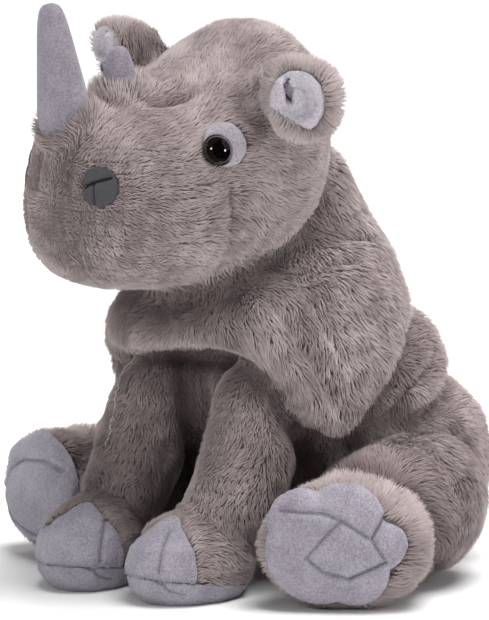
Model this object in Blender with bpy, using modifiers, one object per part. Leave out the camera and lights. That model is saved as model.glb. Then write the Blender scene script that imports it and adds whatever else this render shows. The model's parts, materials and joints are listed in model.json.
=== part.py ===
"""A seated plush rhinoceros, about 30 cm tall, as its stuffed solids.

Metres, +Z up. The toy faces -Y, so its own left side is at +X. It sits on the floor, z = 0, on its
rump, its hind feet and its front feet. Every solid reaches out to the tips of the pile.

Each fabric panel that a maker would name is one object. A panel sewn into a stuffed form is cut out
of that form's own shape, so that both keep one outline, with GAP between the two.
"""

from math import atan, cos, exp, pi, radians, sin, sqrt

import bmesh
import bpy
from mathutils import Matrix, Vector

MM = 0.001
GAP = 0.35 * MM  # clearance left wherever one solid meets another
HEM_GAP = 0.8 * MM  # the hem is a sharp fold, and growing a form gains less than its due there
SIDES = {"left": 1, "right": -1}
RIGHTWARDS = Vector((1, 0, 0))
BACKWARDS = Vector((0, 1, 0))
UPWARDS = Vector((0, 0, 1))

# The head turns a little to the toy's right, tips to its left and nods, about the neck's middle.
NECK_PIVOT = Vector((0, -5, 200)) * MM
HEAD_YAW = radians(-9)
HEAD_ROLL = radians(3.8)
HEAD_NOD = radians(2.2)

FUR = ("taupe_plush", (0.37, 0.31, 0.29), 0.95, 0.0)
MINKY = ("lavender_minky", (0.42, 0.38, 0.45), 0.9, 0.0)
NOSTRIL_FELT = ("charcoal_felt", (0.055, 0.058, 0.065), 0.9, 0.0)
EYE_PLASTIC = ("dark_brown_plastic", (0.012, 0.008, 0.007), 0.08, 0.0)


# ---------------------------------------------------------------- scene and mesh helpers


def clear_scene():
    for old in list(bpy.data.objects):
        bpy.data.objects.remove(old)


def new_collection(name):
    made = bpy.data.collections.new(name)
    bpy.context.scene.collection.children.link(made)
    return made


def material(name, colour, roughness, metallic):
    found = bpy.data.materials.get(name)
    if found:
        return found
    made = bpy.data.materials.new(name)
    made.use_nodes = True
    shader = made.node_tree.nodes["Principled BSDF"]
    shader.inputs["Base Color"].default_value = (*colour, 1)
    shader.inputs["Roughness"].default_value = roughness
    shader.inputs["Metallic"].default_value = metallic
    return made


def mesh_object(name, mesh, collection):
    made = bpy.data.objects.new(name, mesh)
    collection.objects.link(made)
    return made


def cutter_object(name, mesh):
    made = mesh_object(name, mesh, cutters)
    made.hide_render = True
    made.display_type = "WIRE"
    return made


def evaluated_copy(source):
    """A mesh of the object as its modifiers leave it, in the world frame."""
    bpy.context.view_layer.update()
    graph = bpy.context.evaluated_depsgraph_get()
    mesh = bpy.data.meshes.new_from_object(source.evaluated_get(graph))
    mesh.transform(source.matrix_world)
    return mesh


def grown_mesh(mesh, by):
    """A copy of a closed mesh with every point moved out along its normal."""
    copy = mesh.copy()
    bm = bmesh.new()
    bm.from_mesh(copy)
    bm.normal_update()
    for vert in bm.verts:
        vert.co += vert.normal * by
    bm.to_mesh(copy)
    bm.free()
    return copy


class Form:
    """A whole stuffed shape, before the panels and neighbours are cut from it."""

    def __init__(self, name, mesh, gap=GAP):
        self.name = name
        self.mesh = mesh
        self.gap = gap

    def cutter(self, by=None):
        by = self.gap if by is None else by
        name = f"{self.name}_grown_{by / MM:.2f}"
        return cutters.objects.get(name) or cutter_object(name, grown_mesh(self.mesh, by))


def form_from_cage(name, rings):
    """Skins a row of rings, closes both ends with a point, and rounds it by subdivision."""
    bm = bmesh.new()
    rows = [[bm.verts.new(point) for point in ring] for ring in rings]
    sides = len(rows[0])
    for low, high in zip(rows, rows[1:]):
        for k in range(sides):
            bm.faces.new((low[k], low[(k + 1) % sides], high[(k + 1) % sides], high[k]))
    for row in (rows[0], rows[-1]):
        middle = sum((vert.co for vert in row), Vector()) / sides
        pole = bm.verts.new(middle)
        for k in range(sides):
            bm.faces.new((row[k], row[(k + 1) % sides], pole))
    bmesh.ops.recalc_face_normals(bm, faces=bm.faces)
    cage = mesh_object(name + "_cage", mesh_from(name, bm), cutters)
    rounding = cage.modifiers.new("rounding", "SUBSURF")
    rounding.levels = rounding.render_levels = 1
    rounded = evaluated_copy(cage)
    bpy.data.objects.remove(cage)
    return Form(name, rounded)


def mesh_from(name, bm):
    """Turns a finished bmesh into a mesh and frees it."""
    mesh = bpy.data.meshes.new(name)
    bm.to_mesh(mesh)
    bm.free()
    return mesh


def ball_form(name, centre, radii, place=None, segments=12, rings=8):
    """A stuffed ball: a sphere stretched to its three radii about its centre, then placed."""
    bm = bmesh.new()
    bmesh.ops.create_uvsphere(bm, u_segments=segments, v_segments=rings, radius=1)
    bm.transform(Matrix.Translation(Vector(centre) * MM) @ Matrix.Diagonal((*(Vector(radii) * MM), 1)))
    bm.transform(place or Matrix.Identity(4))
    return Form(name, mesh_from(name, bm))


def cut_level(form):
    """The same form, cut off flat at the floor."""
    bm = bmesh.new()
    bm.from_mesh(form.mesh)
    cut = bmesh.ops.bisect_plane(
        bm,
        geom=bm.verts[:] + bm.edges[:] + bm.faces[:],
        plane_co=(0, 0, 0),
        plane_no=(0, 0, -1),
        clear_outer=True,
    )
    rim = [item for item in cut["geom_cut"] if isinstance(item, bmesh.types.BMEdge)]
    bmesh.ops.contextual_create(bm, geom=rim)
    bmesh.ops.triangulate(bm, faces=[face for face in bm.faces if len(face.verts) > 4])
    bm.to_mesh(form.mesh)
    bm.free()
    return form


def oval(centre, across, up, sizes, sides, square=1.0):
    """A closed oval of sizes (half across, up, down) in mm, where square < 1 fills its corners.
    One level of subdivision draws a ring of few sides inwards, so it starts that much larger."""
    swell = 0.975 / (0.75 + 0.25 * cos(2 * pi / sides))
    half_across, half_up, half_down = Vector(sizes) * MM * swell
    ring = []
    for k in range(sides):
        angle = 2 * pi * (k + 0.5) / sides
        c, s = cos(angle), sin(angle)
        x = abs(c) ** square * (half_across if c > 0 else -half_across)
        z = abs(s) ** square * (half_up if s > 0 else -half_down)
        ring.append(centre + across * x + up * z)
    return ring


def tube_rings(stations, sides):
    """Ovals across a bent limb. A station is (place, half width, half depth), and each oval
    lies square to the line between its neighbours unless it gives its own direction."""
    places = [Vector(station[0]) * MM for station in stations]
    rings = []
    across = None
    for k, station in enumerate(stations):
        ahead = places[min(k + 1, len(places) - 1)]
        behind = places[max(k - 1, 0)]
        along = Vector(station[3]) if len(station) > 3 else ahead - behind
        along.normalize()
        if across is None:
            level = UPWARDS.cross(along)
            across = level if level.length > 0.5 else RIGHTWARDS
        across = (across - along * across.dot(along)).normalized()
        sizes = (station[1], station[2], station[2])
        rings.append(oval(places[k], across, along.cross(across), sizes, sides))
    return rings


def mirrored(stations, sign):
    """The same stations on the toy's left (sign 1) or right (sign -1)."""
    flip = Vector((sign, 1, 1))
    return [(Vector(s[0]) * flip, s[1], s[2], *[Vector(d) * flip for d in s[3:]]) for s in stations]


def prism_form(name, outline, place, low, high):
    """An upright wall round an outline of (x, y) in mm, from height low to high, then placed."""
    bm = bmesh.new()
    floor = [bm.verts.new((x * MM, y * MM, low * MM)) for x, y in outline]
    wall = bmesh.ops.extrude_face_region(bm, geom=[bm.faces.new(floor)])
    lifted = [item for item in wall["geom"] if isinstance(item, bmesh.types.BMVert)]
    bmesh.ops.translate(bm, verts=lifted, vec=(0, 0, (high - low) * MM))
    bmesh.ops.recalc_face_normals(bm, faces=bm.faces)
    bm.transform(place)
    if place.determinant() < 0:  # a mirrored place turns the shape inside out
        bmesh.ops.reverse_faces(bm, faces=bm.faces)
    return Form(name, mesh_from(name, bm))


def at_place(x, y, z):
    return Matrix.Translation(Vector((x, y, z)) * MM)


def panel(name, form, look, cut_by=(), kept_inside=(), solver="EXACT"):
    """A finished solid: the form's shape less its neighbours, and only what lies in kept_inside."""
    made = mesh_object(name, form.mesh.copy(), plush)
    made.data.materials.clear()
    made.data.materials.append(material(*look))
    for operation, tools in (("INTERSECT", kept_inside), ("DIFFERENCE", cut_by)):
        for tool in tools:
            step = made.modifiers.new(f"{operation.lower()}_{tool.name}"[:60], "BOOLEAN")
            step.operation = operation
            step.object = tool
            step.solver = solver
    made.data.shade_smooth()
    return made


# ---------------------------------------------------------------- the head

# Each row crosses the head: (y, half width, top, bottom), from the muzzle's front to the nape.
HEAD_SECTIONS = (
    (-122, 17, 213, 171),
    (-115, 33, 232, 156),
    (-100, 48, 244, 148),
    (-74, 59, 248, 146),
    (-42, 62, 255, 146),
    (-12, 62, 277, 151),
    (8, 57, 280, 160),
    (24, 43, 266, 178),
    (34, 24, 246, 198),
)
HEAD_MIDDLE = 0.45  # how far up its side each row is widest
HEAD_SQUARENESS = 0.8
EYE = ((51.5, -56, 222), 7.2)  # centre and radius
EYE_PATCH = ((47.5, -50, 223), 12.5)
NOSTRIL = ((31, -111, 207), 10.2)

# A horn is a stack of rounds: (share of its height, radius).
HORNS = {
    "front": ((0, -107, 226), (0, -117, 292), ((0, 14), (0.25, 12.6), (0.6, 9.4), (0.9, 7), (0.99, 4.6))),
    "rear": ((0, -76, 236), (0, -77, 268), ((0, 11.5), (0.3, 10.4), (0.65, 7.8), (0.9, 5.6), (0.99, 3.4))),
}

# An ear is a thick leaf of pile with a hollow in front, and the hollow holds the lining.
EAR_PLACE = (76, -23, 247)
EAR_FACING = {"left": radians(28), "right": radians(8)}  # turned outwards from straight ahead
EAR_LEAN = radians(4)
# The ear's leaf from its root outwards: (place along the ear, half depth, half height).
EAR_SECTIONS = ((-34, 9, 13), (-17, 11, 18), (-3, 14, 22), (11, 12, 20), (18, 6, 10))
EAR_LINING = ((0, -8, 0), (15, 8, 16))
EAR_HOLLOW = ((0, -26, 0), (17, 20, 19))


def head_form():
    rings = []
    for y, half_width, top, bottom in HEAD_SECTIONS:
        middle = bottom + HEAD_MIDDLE * (top - bottom)
        sizes = (half_width, top - middle, middle - bottom)
        centre = Vector((0, y, middle)) * MM
        rings.append(oval(centre, RIGHTWARDS, UPWARDS, sizes, 10, HEAD_SQUARENESS))
    form = form_from_cage("head_form", rings)
    form.mesh.transform(head_place)
    return form


def horn_form(name, foot, tip, rounds):
    foot, tip = Vector(foot) * MM, Vector(tip) * MM
    up = (tip - foot).cross(RIGHTWARDS).normalized()
    rings = []
    for share, radius in rounds:
        rings.append(oval(foot.lerp(tip, share), RIGHTWARDS, up, (radius,) * 3, 6))
    form = form_from_cage(name, rings)
    form.mesh.transform(head_place)
    return form


def build_ear(side, sign, head):
    place = (
        head_place
        @ at_place(EAR_PLACE[0] * sign, *EAR_PLACE[1:])
        @ Matrix.Rotation(EAR_FACING[side] * sign, 4, "Z")
        @ Matrix.Rotation(EAR_LEAN * sign, 4, "Y")
    )
    rings = []
    for out, half_deep, half_high in EAR_SECTIONS:
        centre = Vector((out * sign, 0, 0)) * MM
        rings.append(oval(centre, BACKWARDS, UPWARDS, (half_deep, half_high, half_high), 7))
    leaf = form_from_cage(f"ear_leaf_{side}", rings)
    leaf.mesh.transform(place)
    lining = ball_form(f"ear_lining_form_{side}", *EAR_LINING, place, 10, 7)
    hollow = ball_form(f"ear_hollow_{side}", *EAR_HOLLOW, place, 10, 7)
    panel(f"ear_{side}", leaf, FUR, [head.cutter(), lining.cutter(), hollow.cutter()])
    openings = [hollow.cutter(), head.cutter()]
    panel(f"ear_lining_{side}", lining, MINKY, openings, [leaf.cutter(0)], solver="MANIFOLD")


def build_head():
    """The head with its horns, ears, eyes and nostrils. Gives back the whole head's form."""
    head = head_form()
    openings = []
    for which, (foot, tip, rounds) in HORNS.items():
        horn = horn_form(f"horn_{which}_form", foot, tip, rounds)
        panel(f"horn_{which}", horn, MINKY, [head.cutter()])

    for side, sign in SIDES.items():
        build_ear(side, sign, head)

        def head_ball(name, centre, radius):
            flipped = Vector(centre) * Vector((sign, 1, 1))
            return ball_form(f"{name}_form_{side}", flipped, (radius,) * 3, head_place, 10, 7)

        eye = head_ball("eye", *EYE)
        patch = head_ball("eye_patch", *EYE_PATCH)
        nostril = head_ball("nostril", *NOSTRIL)
        panel(f"eye_{side}", eye, EYE_PLASTIC)
        panel(f"eye_patch_{side}", patch, MINKY, [eye.cutter()], [head.cutter(0)])
        panel(f"nostril_{side}", nostril, NOSTRIL_FELT, [], [head.cutter(0)])
        openings += [eye.cutter(), patch.cutter(), nostril.cutter()]

    panel("head", head, FUR, openings)
    return head


# ---------------------------------------------------------------- the body

# The shoulders, from the neck down to the hem: (height, half width, half depth), round SHOULDER_Y.
SHOULDER_Y = 9
SHOULDER_SECTIONS = (
    (218, 30, 42),
    (192, 42, 58),
    (176, 50, 62),
    (162, 70, 67),
    (138, 78, 75),
    (116, 83, 80),  # the hem, whose own height is hem_height
)
SHOULDER_SIDES = 20
HEM_TUCK = 0.7  # how far in the cape's under side closes
HEM_TUCK_RISE = Vector((0, 0, 4 * MM))
# The hem's height: level in front and behind, with a corner that droops at each flank.
HEM_LEVEL, HEM_DROOP, HEM_BACK_RISE = 116, 56, 3
HEM_CORNER = radians(72)
HEM_CORNER_WIDTH = {"ahead": radians(17), "behind": radians(33)}

# A stuffed ball: centre, radii.
TRUNK = ((0, 44, 90), (80, 70, 62))
TRUNK_TILT = radians(-10)  # its front sits higher
RUMP = ((0, 68, 50), (90, 68, 65))
NECK = ((0, 8, 196), (46, 46, 50))
TAIL = (
    ((0, 120, 66), 6, 6),
    ((0, 132, 60), 6.5, 6.5),
    ((0, 140, 48), 6.5, 6.5),
    ((0, 145, 34), 7.5, 7.5),
    ((0, 148, 20), 8, 8),
    ((0, 149, 10), 5, 5),
)


def hem_height(angle):
    """The hem's height at an angle from the front, either way round."""
    off = abs(angle) - HEM_CORNER
    width = HEM_CORNER_WIDTH["ahead" if off < 0 else "behind"]
    corner_share = exp(-((off / width) ** 2))
    return HEM_LEVEL + HEM_BACK_RISE * (1 - cos(angle)) - HEM_DROOP * corner_share


def shoulder_form():
    """The stuffed cape over the chest and shoulders."""
    top, hem_level = SHOULDER_SECTIONS[0][0], SHOULDER_SECTIONS[-1][0]
    rings = []
    for height, half_wide, half_deep in SHOULDER_SECTIONS:
        share = (top - height) / (top - hem_level)
        ring = []
        for k in range(SHOULDER_SIDES):
            angle = 2 * pi * k / SHOULDER_SIDES - pi  # 0 in front, growing to the toy's left
            z = top - share * (top - hem_height(angle))
            ring.append(Vector((half_wide * sin(angle), SHOULDER_Y - half_deep * cos(angle), z)) * MM)
        rings.append(ring)
    middle = Vector((0, SHOULDER_Y, 0)) * MM
    inward = Matrix.Diagonal((HEM_TUCK, HEM_TUCK, 1)).to_3x3()
    rings.append([inward @ (point - middle) + middle + HEM_TUCK_RISE for point in rings[-1]])
    form = form_from_cage("shoulder_form", rings)
    form.gap = HEM_GAP
    return form


def build_body(head):
    neck = ball_form("neck_form", *NECK, segments=9, rings=6)
    shoulders = shoulder_form()
    centre = at_place(*TRUNK[0])
    tilted = centre @ Matrix.Rotation(TRUNK_TILT, 4, "X") @ centre.inverted()
    trunk = ball_form("trunk_form", *TRUNK, tilted, segments=16, rings=10)
    rump = cut_level(ball_form("rump_form", *RUMP, segments=13, rings=8))
    panel("neck", neck, FUR, [head.cutter()])
    panel("shoulders", shoulders, FUR, [head.cutter(), neck.cutter()], solver="MANIFOLD")
    panel("trunk", trunk, FUR, [shoulders.cutter(), neck.cutter()])
    panel("rump", rump, FUR, [trunk.cutter(), shoulders.cutter()])
    tail = form_from_cage("tail_form", tube_rings(TAIL, 5))
    panel("tail", tail, FUR, [rump.cutter()])
    return [shoulders, trunk, rump]


# ---------------------------------------------------------------- the legs

FRONT_LEG = (
    ((33, -16, 122), 22, 24),
    ((35, -25, 92), 25, 26),
    ((36.5, -33, 64), 25, 26),
    ((37, -48, 42), 25, 26, (0, -0.5, -1)),
    ((36, -58, 27), 22, 23, (0, -0.6, -1)),
)
# Each front foot: its middle on the floor, and how far its toes turn to the toy's left.
FRONT_FEET = {"left": ((33, -71), radians(-2)), "right": ((-28, -79), radians(26))}
FRONT_FOOT = ((0, 0, 17), (27, 37, 27))
# The toe cap's back edge over the foot: its y at the peak, then its fall and its bend to each side.
CAP_PEAK, CAP_FALL, CAP_BEND = 2, 0.35, 0.012
CAP_STEPS = range(-34, 35, 4)  # wider than the foot
SOLE_SEAM_HEIGHT, SOLE_SEAM_RISE = 9, -0.14  # at the foot's middle, and per mm towards its back
CUTTER_REACH = 60  # further than any part of the foot

HIND_LEG = (
    ((54, 66, 41), 34, 33),
    ((66, 48, 40), 47, 44),
    ((84, 18, 37), 46, 40.5),
    ((95, -15, 31), 33, 30, (0.55, -0.83, 0)),
    ((101, -35, 30), 43, 34.5, (0.6, -0.8, 0)),
    ((109, -48, 31), 42, 33.5, (0.62, -0.78, 0.02)),
    ((112, -54, 31.5), 31, 24, (0.62, -0.78, 0.02)),
)
HIP, ANKLE = (54, 60, 0), (95, -15, 0)
ANKLE_STATION = 4  # the first station of the foot
# Each hind leg: its turns to the toy's left about the hip and about the ankle, then how far it lies
# outwards and how far its foot is lifted, in mm.
HIND_POSES = {"left": (0.0, 0.0, 0, 0), "right": (radians(15), radians(10), 12, 3.5)}
SOLE_FACING = (0.62, -0.78)
SOLE_CENTRE = (112, -54, 32)
# The sole is the sum of these discs: (outwards, up, radius) from its centre. Three are the toes.
SOLE_DISCS = ((-15, 8, 19), (2.5, 8, 21), (22.5, 2, 12), (4, -6, 22.5), (-7, -1, 24.5))
SOLE_POINTS = 22
SOLE_BACK, SOLE_FRONT = -9, 40  # along the way the sole faces


def build_front_leg(side, sign, body, hind):
    leg = cut_level(form_from_cage(f"front_leg_form_{side}", tube_rings(mirrored(FRONT_LEG, sign), 8)))
    (x, y), turn = FRONT_FEET[side]
    place = at_place(x, y, 0) @ Matrix.Rotation(turn, 4, "Z")
    foot = cut_level(ball_form(f"front_foot_form_{side}", *FRONT_FOOT, place, segments=12, rings=8))

    wide = CAP_STEPS[-1]
    back_edge = [(x, CAP_PEAK - CAP_FALL * abs(x) - CAP_BEND * x**2) for x in CAP_STEPS]
    front_edge = [(wide, -CUTTER_REACH), (-wide, -CUTTER_REACH)]
    cap_wall = prism_form(f"cap_wall_{side}", [*front_edge, *back_edge], place, -10, CUTTER_REACH)
    seam = place @ at_place(0, 0, SOLE_SEAM_HEIGHT) @ Matrix.Rotation(atan(SOLE_SEAM_RISE), 4, "X")
    slab = [*front_edge, (-wide, CUTTER_REACH), (wide, CUTTER_REACH)]
    sole_slab = prism_form(f"sole_slab_{side}", slab, seam, -CUTTER_REACH, 0)

    neighbours = [form.cutter() for form in (*body, hind)]
    panel(f"front_leg_{side}", leg, FUR, [*neighbours, foot.cutter()])
    panel(f"front_foot_{side}", foot, FUR, [cap_wall.cutter(), sole_slab.cutter(), hind.cutter()])
    panel(f"toe_cap_{side}", foot, MINKY, [sole_slab.cutter()], [cap_wall.cutter(0)])
    panel(f"front_sole_{side}", foot, MINKY, [hind.cutter()], [sole_slab.cutter(0)])


def sole_outline():
    """The outer edge of the sole's discs, which all cover its middle."""
    outline = []
    for k in range(SOLE_POINTS):
        angle = 2 * pi * k / SOLE_POINTS
        c, s = cos(angle), sin(angle)
        reach = 0
        for x, y, radius in SOLE_DISCS:
            side_step = x * s - y * c
            if abs(side_step) < radius:
                reach = max(reach, x * c + y * s + sqrt(radius**2 - side_step**2))
        outline.append((reach * c, reach * s))
    return outline


def turned_about(pivot, sign, angle):
    """A turn about an upright line through the pivot, on the toy's left or right."""
    x, y, z = pivot
    to_pivot = at_place(x * sign, y, z)
    return to_pivot @ Matrix.Rotation(angle, 4, "Z") @ to_pivot.inverted()


def hind_leg_rings(sign, ankle_turn):
    """The leg's rings, with those of the foot turned about the ankle."""
    rings = tube_rings(mirrored(HIND_LEG, sign), 8)
    foot = [[ankle_turn @ point for point in ring] for ring in rings[ANKLE_STATION:]]
    return rings[:ANKLE_STATION] + foot


def build_hind_leg(side, sign, body):
    hip_angle, ankle_angle, outwards, lift = HIND_POSES[side]
    hip_turn = at_place(outwards * sign, 0, 0) @ turned_about(HIP, sign, hip_angle)
    ankle_turn = at_place(0, 0, lift) @ turned_about(ANKLE, sign, ankle_angle)
    leg = form_from_cage(f"hind_leg_form_{side}", hind_leg_rings(sign, ankle_turn))
    leg.mesh.transform(hip_turn)
    cut_level(leg)

    ahead = Vector((SOLE_FACING[0] * sign, SOLE_FACING[1], 0)).normalized()
    across = Vector((-ahead.y, ahead.x, 0)) * sign
    axes = Matrix((across, UPWARDS, ahead)).transposed().to_4x4()
    place = hip_turn @ ankle_turn @ at_place(SOLE_CENTRE[0] * sign, *SOLE_CENTRE[1:]) @ axes
    sole_wall = prism_form(f"sole_wall_{side}", sole_outline(), place, SOLE_BACK, SOLE_FRONT)
    panel(f"hind_leg_{side}", leg, FUR, [*[form.cutter() for form in body], sole_wall.cutter()])
    panel(f"hind_sole_{side}", leg, MINKY, [], [sole_wall.cutter(0)])
    return leg


# ---------------------------------------------------------------- the whole toy


def set_origin_below_the_middle():
    """Slides everything so that the origin is on the floor under the middle of the toy's box."""
    corners = [vert.co for made in plush.objects for vert in evaluated_copy(made).vertices]
    middle = Vector((0, 0, 0))
    for axis in (0, 1):
        places = [corner[axis] for corner in corners]
        middle[axis] = (min(places) + max(places)) / 2
    for made in [*plush.objects, *cutters.objects]:
        made.location -= middle


head_place = (
    Matrix.Translation(NECK_PIVOT)
    @ Matrix.Rotation(HEAD_YAW, 4, "Z")
    @ Matrix.Rotation(HEAD_ROLL, 4, "Y")
    @ Matrix.Rotation(HEAD_NOD, 4, "X")
    @ Matrix.Translation(-NECK_PIVOT)
)
clear_scene()
plush = new_collection("plush_rhinoceros")
cutters = new_collection("cutters")
whole_head = build_head()
body_forms = build_body(whole_head)
for leg_side, leg_sign in SIDES.items():
    hind_form = build_hind_leg(leg_side, leg_sign, body_forms)
    build_front_leg(leg_side, leg_sign, body_forms, hind_form)
set_origin_below_the_middle()
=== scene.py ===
# %% [markdown]
# # A seated plush rhinoceros
# The toy is sewn from a taupe pile fabric and stuffed. Its horns, ear linings, toe caps and soles are a
# smooth lavender fabric with a very short nap, its nostrils are felt and its eyes are glossy plastic.
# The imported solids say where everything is. They reach out to the tips of the pile, so the fabric
# itself lies some millimetres inside them.

# %% Load the frame and measure it
import json
from math import cos, pi, radians, sin, sqrt

import bmesh
import bpy
import numpy as np
from mathutils import Matrix, Vector
from mathutils.bvhtree import BVHTree
from mathutils.kdtree import KDTree

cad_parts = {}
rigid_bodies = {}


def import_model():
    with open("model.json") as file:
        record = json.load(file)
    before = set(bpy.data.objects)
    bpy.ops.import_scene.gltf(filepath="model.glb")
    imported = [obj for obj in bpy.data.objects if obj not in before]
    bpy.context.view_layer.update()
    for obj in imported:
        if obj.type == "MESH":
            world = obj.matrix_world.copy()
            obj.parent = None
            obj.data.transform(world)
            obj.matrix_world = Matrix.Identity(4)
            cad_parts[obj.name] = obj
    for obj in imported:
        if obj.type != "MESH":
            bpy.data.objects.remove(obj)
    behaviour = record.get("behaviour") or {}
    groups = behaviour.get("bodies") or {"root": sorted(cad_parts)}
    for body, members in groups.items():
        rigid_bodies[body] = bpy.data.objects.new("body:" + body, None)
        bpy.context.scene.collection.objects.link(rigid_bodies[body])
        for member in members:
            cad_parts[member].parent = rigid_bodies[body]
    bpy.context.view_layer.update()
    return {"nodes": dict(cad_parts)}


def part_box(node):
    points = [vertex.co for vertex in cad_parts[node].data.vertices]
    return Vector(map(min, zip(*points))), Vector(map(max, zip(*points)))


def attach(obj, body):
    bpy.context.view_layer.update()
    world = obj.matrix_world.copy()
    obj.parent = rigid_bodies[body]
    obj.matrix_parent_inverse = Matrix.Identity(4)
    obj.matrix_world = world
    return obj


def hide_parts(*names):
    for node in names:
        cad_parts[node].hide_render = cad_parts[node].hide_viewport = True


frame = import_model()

MM = 0.001
SIDES = {"left": 1, "right": -1}

# %% [markdown]
# Every finished object sits at the origin, unturned, with its place in its mesh. These few helpers
# select, remesh and place objects, and read and write whole meshes.

# %% Helpers for objects
def only(*pieces):
    """Selects these pieces and nothing else. The first becomes the active one."""
    bpy.ops.object.select_all(action="DESELECT")
    for piece in pieces:
        piece.select_set(True)
    if pieces:
        bpy.context.view_layer.objects.active = pieces[0]


def remeshed(piece, voxel):
    """The piece as one even closed surface, in steps of so many mm."""
    only(piece)
    step = piece.modifiers.new("remesh", "REMESH")
    step.mode, step.voxel_size = "VOXEL", voxel * MM
    bpy.ops.object.modifier_apply(modifier=step.name)
    return piece


def placed(name, data):
    made = bpy.data.objects.new(name, data)
    bpy.context.scene.collection.objects.link(made)
    return made


def middle_of(node):
    low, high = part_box(node)
    return (low + high) / 2


# %% Helpers for meshes and numbers
def read(items, name, width=3, kind=np.float32):
    """One property of every item, as rows of so many numbers."""
    flat = np.empty(len(items) * width, kind)
    items.foreach_get(name, flat)
    return flat.reshape(-1, width)


def write(items, name, values, kind=np.float32):
    items.foreach_set(name, values.astype(kind).ravel())


def points_of(mesh):
    return read(mesh.vertices, "co").astype(float)


def normals_of(mesh):
    return read(mesh.vertex_normals, "vector").astype(float)


def set_points(mesh, points):
    write(mesh.vertices, "co", points)
    mesh.update()


def mark(mesh, label, values):
    """Stores a number at each point, for a finish to read."""
    write(mesh.attributes.new(label, "FLOAT", "POINT").data, "value", values)


def shade_smooth(mesh):
    write(mesh.polygons, "use_smooth", np.ones(len(mesh.polygons)), bool)


def unit(vectors):
    return vectors / np.maximum(np.linalg.norm(vectors, axis=-1, keepdims=True), 1e-9)


def ramp(values, start, over):
    """0 up to the start, then rising to 1 over that distance, or downwards where it is negative."""
    return np.clip((values - start) / over, 0, 1)


def hollow(distance, width):
    """1 on the line, and fading to nothing at about twice the width."""
    return np.exp(-((distance / width) ** 2))


# %% [markdown]
# ## The head's own frame
# The head turns a little to the toy's right, tips and nods. Everything sewn to it is placed in the
# head's own straight frame, in millimetres, where x = 0 is the middle of the face.

# %% The head's place, from its two eyes
HEAD_YAW, HEAD_ROLL, HEAD_NOD = radians(-9), radians(3.8), radians(2.2)
EYES_LINE = Vector((0, -56, 222))  # the point between the eyes, in the head's frame
head_turn = Matrix.Rotation(HEAD_YAW, 4, "Z") @ Matrix.Rotation(HEAD_ROLL, 4, "Y")
head_turn = head_turn @ Matrix.Rotation(HEAD_NOD, 4, "X")
between_eyes = (middle_of("eye_left") + middle_of("eye_right")) / 2
head_place = Matrix.Translation(between_eyes) @ head_turn @ Matrix.Scale(MM, 4)
head_place = head_place @ Matrix.Translation(-EYES_LINE)
to_head = np.array(head_place.inverted())
print("The point between the eyes is", [round(edge / MM, 1) for edge in between_eyes], "mm")


def in_head(points):
    return points @ to_head[:3, :3].T + to_head[:3, 3]


# %% Frames of the flat pads and of the front feet
def pad_frame(node):
    """A flat pad's middle, and its directions across (mirrored on the right side), up and out."""
    corners = points_of(frame["nodes"][node].data)
    middle = (corners.min(0) + corners.max(0)) / 2
    out = np.linalg.svd(corners - corners.mean(0), full_matrices=False)[2][2]
    body = np.array(middle_of("neck" if node.startswith(("ear", "eye", "nostril")) else "trunk"))
    out = out * np.sign(out @ (middle - body))
    up = unit(np.array((0, 0, 1)) - out * out[2])
    across = np.cross(up, out) * (-1 if node.endswith("_right") else 1)
    return middle, np.stack([across, up, out])


def on_pad(points, node):
    """Points as millimetres across, up and out from the middle of a pad."""
    middle, directions = pad_frame(node)
    return (points - middle) @ directions.T / MM


FOOT_TURN, FOOT_HEIGHT = {"left": radians(-2), "right": radians(26)}, 17  # the height of its middle


def foot_middle(side):
    low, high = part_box(f"front_sole_{side}")
    return np.array([(low.x + high.x) / 2, (low.y + high.y) / 2, FOOT_HEIGHT * MM])


def in_foot(points, side):
    """Points in a front foot's own frame, in mm: x to its left, y back and z up from its middle."""
    x, y, z = (points - foot_middle(side)).T / MM
    turned = FOOT_TURN[side]
    return np.stack([x * cos(turned) + y * sin(turned), y * cos(turned) - x * sin(turned), z], 1)


for node in ("hind_sole_left", "ear_lining_left", "eye_patch_left", "nostril_left"):
    print(node, "faces", pad_frame(node)[1][2].round(2))

# %% Where the pile covers the edge of a panel
CAP_EDGE, CAP_PEAK = -16, 5  # the toe cap's back edge and the small peak on it, in the foot's frame
PEAK_AT, PEAK_WIDTH = 4, 6
LINING_CUT = (-0.5, -0.86, 8.6)  # the pile covers the lining's lower inner corner, beyond this line


def past_cap(points, side):
    """How far points lie behind the edge of a toe cap, in mm."""
    x, y, _ = in_foot(points, side).T
    return y - CAP_EDGE - CAP_PEAK * hollow(x - PEAK_AT, PEAK_WIDTH)


def past_lining(points, side):
    across, up, _ = on_pad(points, f"ear_lining_{side}").T
    return across * LINING_CUT[0] + up * LINING_CUT[1] - LINING_CUT[2]


# %% [markdown]
# ## Camera, light and floor
# The toy is seen from its left front and a little from above, through a long lens, so that it keeps
# its proportions. Most of the light comes from above, with a large lamp behind that brightens the edges
# and weaker ones at the sides. Two small lamps put the glints on each eye, and no other light shows there.

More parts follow.
